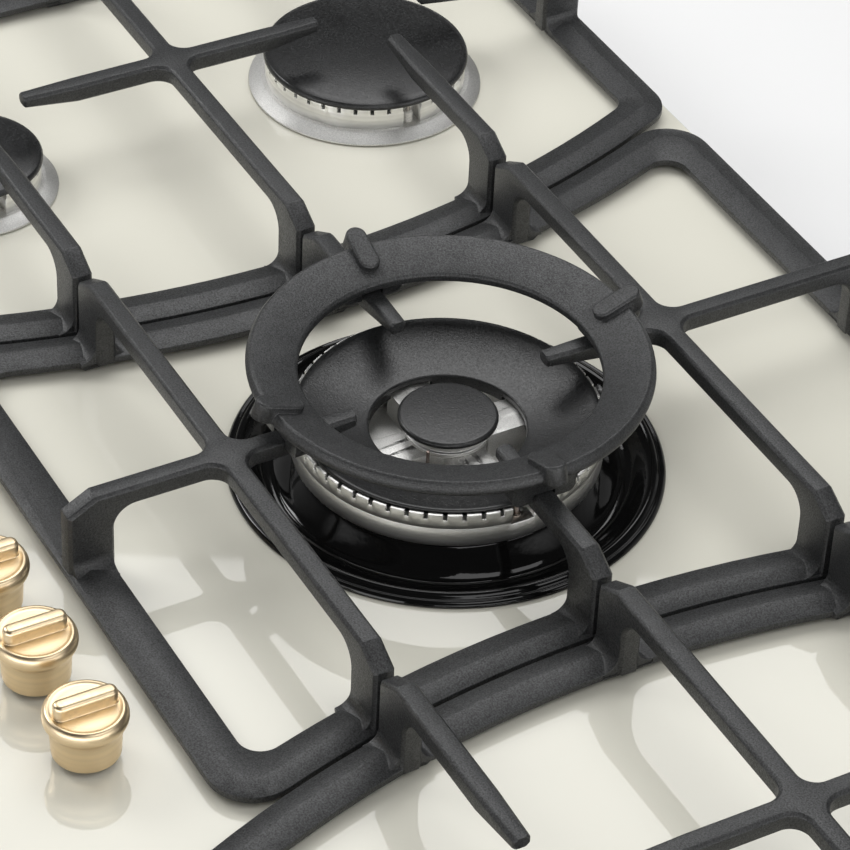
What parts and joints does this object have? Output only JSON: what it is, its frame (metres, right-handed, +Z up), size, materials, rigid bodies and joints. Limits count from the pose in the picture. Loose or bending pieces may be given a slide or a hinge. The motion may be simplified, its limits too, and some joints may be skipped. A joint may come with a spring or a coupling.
{
  "type": "gas cooktop",
  "caption": "Built-in gas cooktop with an ivory glass top, a multi-ring wok burner under a loose cast-iron ring, smaller side burners, cast-iron pan supports and front knobs.",
  "frame": {"origin": "centre of the worktop cut-out, on the worktop's upper face", "axes": "+X to the user's right, +Y to the back of the hob, +Z up"},
  "size_m": [0.86, 0.5, 0.1276],
  "materials": {
    "ivory_glass": "gloss, opaque ivory back coat",
    "seal_foam": "matte foam",
    "galvanised_sheet": "zinc-coated",
    "zinc_screw": "zinc-plated",
    "black_enamel": "gloss vitreous enamel",
    "cast_aluminium": "bright cast",
    "satin_aluminium": "turned, satin",
    "matte_enamel": "matte vitreous enamel",
    "electrode_ceramic": "glazed",
    "probe_steel": "heat-tinted",
    "brass": "machined",
    "tube_aluminium": "drawn",
    "rail_steel": "zinc-plated",
    "spindle_steel": "ground",
    "bronze_knob": "satin bronze lacquer",
    "silicone": "matte",
    "black_plastic": "matte",
    "module_plastic": "matte",
    "cast_iron": "matte vitreous enamel over fine grain"
  },
  "bodies": {
    "hob": {"glass_top": "ivory_glass", "worktop_seal": "seal_foam", "base_tray": "galvanised_sheet", "worktop_clamps": "galvanised_sheet", "screws": "zinc_screw", "wok_bowl": "black_enamel", "wok_burner_body": "cast_aluminium", "wok_flame_ring": "satin_aluminium", "burner_gaskets": "silicone", "side_cups": "cast_aluminium", "side_crowns": "satin_aluminium", "spark_electrodes": "electrode_ceramic", "thermocouples": "probe_steel", "burner_bridges": "galvanised_sheet", "jet_holders": "brass", "injectors": "brass", "gas_pipes": "tube_aluminium", "pipe_nuts": "brass", "manifold": "rail_steel", "feed_pipe": "rail_steel", "inlet_fitting": "brass", "inlet_nut": "brass", "tap_rail": "rail_steel", "tap_bodies": "brass", "tap_switches": "black_plastic", "spindle_seals": "silicone", "ignition_module": "module_plastic", "terminal_block": "black_plastic", "cable_gland": "black_plastic"},
    "pan_support_left": {"pan_support_left": "cast_iron", "support_feet_left": "silicone"},
    "pan_support_centre": {"pan_support_centre": "cast_iron", "support_feet_centre": "silicone"},
    "pan_support_right": {"pan_support_right": "cast_iron", "support_feet_right": "silicone"},
    "wok_ring": {"wok_ring": "cast_iron"},
    "wok_ring_cap": {"wok_ring_cap": "matte_enamel"},
    "wok_inner_crown": {"wok_inner_crown": "satin_aluminium"},
    "wok_inner_cap": {"wok_inner_cap": "matte_enamel"},
    "front_left_cap": {"front_left_cap": "matte_enamel"},
    "rear_left_cap": {"rear_left_cap": "matte_enamel"},
    "rear_right_cap": {"rear_right_cap": "matte_enamel"},
    "front_right_cap": {"front_right_cap": "matte_enamel"},
    "tap_plug_1": {"tap_plug_1": "brass"},
    "knob_1": {"knob_1": "bronze_knob", "spindle_1": "spindle_steel"},
    "tap_plug_2": {"tap_plug_2": "brass"},
    "knob_2": {"knob_2": "bronze_knob", "spindle_2": "spindle_steel"},
    "tap_plug_3": {"tap_plug_3": "brass"},
    "knob_3": {"knob_3": "bronze_knob", "spindle_3": "spindle_steel"},
    "tap_plug_4": {"tap_plug_4": "brass"},
    "knob_4": {"knob_4": "bronze_knob", "spindle_4": "spindle_steel"},
    "tap_plug_5": {"tap_plug_5": "brass"},
    "knob_5": {"knob_5": "bronze_knob", "spindle_5": "spindle_steel"}
  },
  "joints": [
    {"name": "pan_support_left_lift", "type": "slide", "parent": "hob", "child": "pan_support_left", "axis": [0, 0, 1], "range_m": [0, 0.08]},
    {"name": "pan_support_centre_lift", "type": "slide", "parent": "hob", "child": "pan_support_centre", "axis": [0, 0, 1], "range_m": [0, 0.08]},
    {"name": "pan_support_right_lift", "type": "slide", "parent": "hob", "child": "pan_support_right", "axis": [0, 0, 1], "range_m": [0, 0.08]},
    {"name": "wok_ring_lift", "type": "slide", "parent": "pan_support_centre", "child": "wok_ring", "axis": [0, 0, 1], "range_m": [0, 0.06]},
    {"name": "wok_ring_cap_lift", "type": "slide", "parent": "hob", "child": "wok_ring_cap", "axis": [0, 0, 1], "range_m": [0, 0.0055]},
    {"name": "wok_inner_crown_lift", "type": "slide", "parent": "hob", "child": "wok_inner_crown", "axis": [0, 0, 1], "range_m": [0, 0.05]},
    {"name": "wok_inner_cap_lift", "type": "slide", "parent": "wok_inner_crown", "child": "wok_inner_cap", "axis": [0, 0, 1], "range_m": [0, 0.06]},
    {"name": "front_left_cap_lift", "type": "slide", "parent": "hob", "child": "front_left_cap", "axis": [0, 0, 1], "range_m": [0, 0.012]},
    {"name": "rear_left_cap_lift", "type": "slide", "parent": "hob", "child": "rear_left_cap", "axis": [0, 0, 1], "range_m": [0, 0.012]},
    {"name": "rear_right_cap_lift", "type": "slide", "parent": "hob", "child": "rear_right_cap", "axis": [0, 0, 1], "range_m": [0, 0.012]},
    {"name": "front_right_cap_lift", "type": "slide", "parent": "hob", "child": "front_right_cap", "axis": [0, 0, 1], "range_m": [0, 0.06]},
    {"name": "tap_turn_1", "type": "hinge", "parent": "hob", "child": "tap_plug_1", "pos_m": [-0.096, -0.1905, -0.03], "axis": [0, 0, 1], "range_deg": [0, 210]},
    {"name": "knob_push_1", "type": "slide", "parent": "tap_plug_1", "child": "knob_1", "axis": [0, 0, -1], "range_m": [0, 0.0025], "stiffness_N_per_m": 2500, "springref_m": -0.004},
    {"name": "tap_turn_2", "type": "hinge", "parent": "hob", "child": "tap_plug_2", "pos_m": [-0.048, -0.1905, -0.03], "axis": [0, 0, 1], "range_deg": [0, 210]},
    {"name": "knob_push_2", "type": "slide", "parent": "tap_plug_2", "child": "knob_2", "axis": [0, 0, -1], "range_m": [0, 0.0025], "stiffness_N_per_m": 2500, "springref_m": -0.004},
    {"name": "tap_turn_3", "type": "hinge", "parent": "hob", "child": "tap_plug_3", "pos_m": [0, -0.1905, -0.03], "axis": [0, 0, 1], "range_deg": [0, 210]},
    {"name": "knob_push_3", "type": "slide", "parent": "tap_plug_3", "child": "knob_3", "axis": [0, 0, -1], "range_m": [0, 0.0025], "stiffness_N_per_m": 2500, "springref_m": -0.004},
    {"name": "tap_turn_4", "type": "hinge", "parent": "hob", "child": "tap_plug_4", "pos_m": [0.048, -0.1905, -0.03], "axis": [0, 0, 1], "range_deg": [0, 210]},
    {"name": "knob_push_4", "type": "slide", "parent": "tap_plug_4", "child": "knob_4", "axis": [0, 0, -1], "range_m": [0, 0.0025], "stiffness_N_per_m": 2500, "springref_m": -0.004},
    {"name": "tap_turn_5", "type": "hinge", "parent": "hob", "child": "tap_plug_5", "pos_m": [0.096, -0.1905, -0.03], "axis": [0, 0, 1], "range_deg": [0, 210]},
    {"name": "knob_push_5", "type": "slide", "parent": "tap_plug_5", "child": "knob_5", "axis": [0, 0, -1], "range_m": [0, 0.0025], "stiffness_N_per_m": 2500, "springref_m": -0.004}
  ]
}
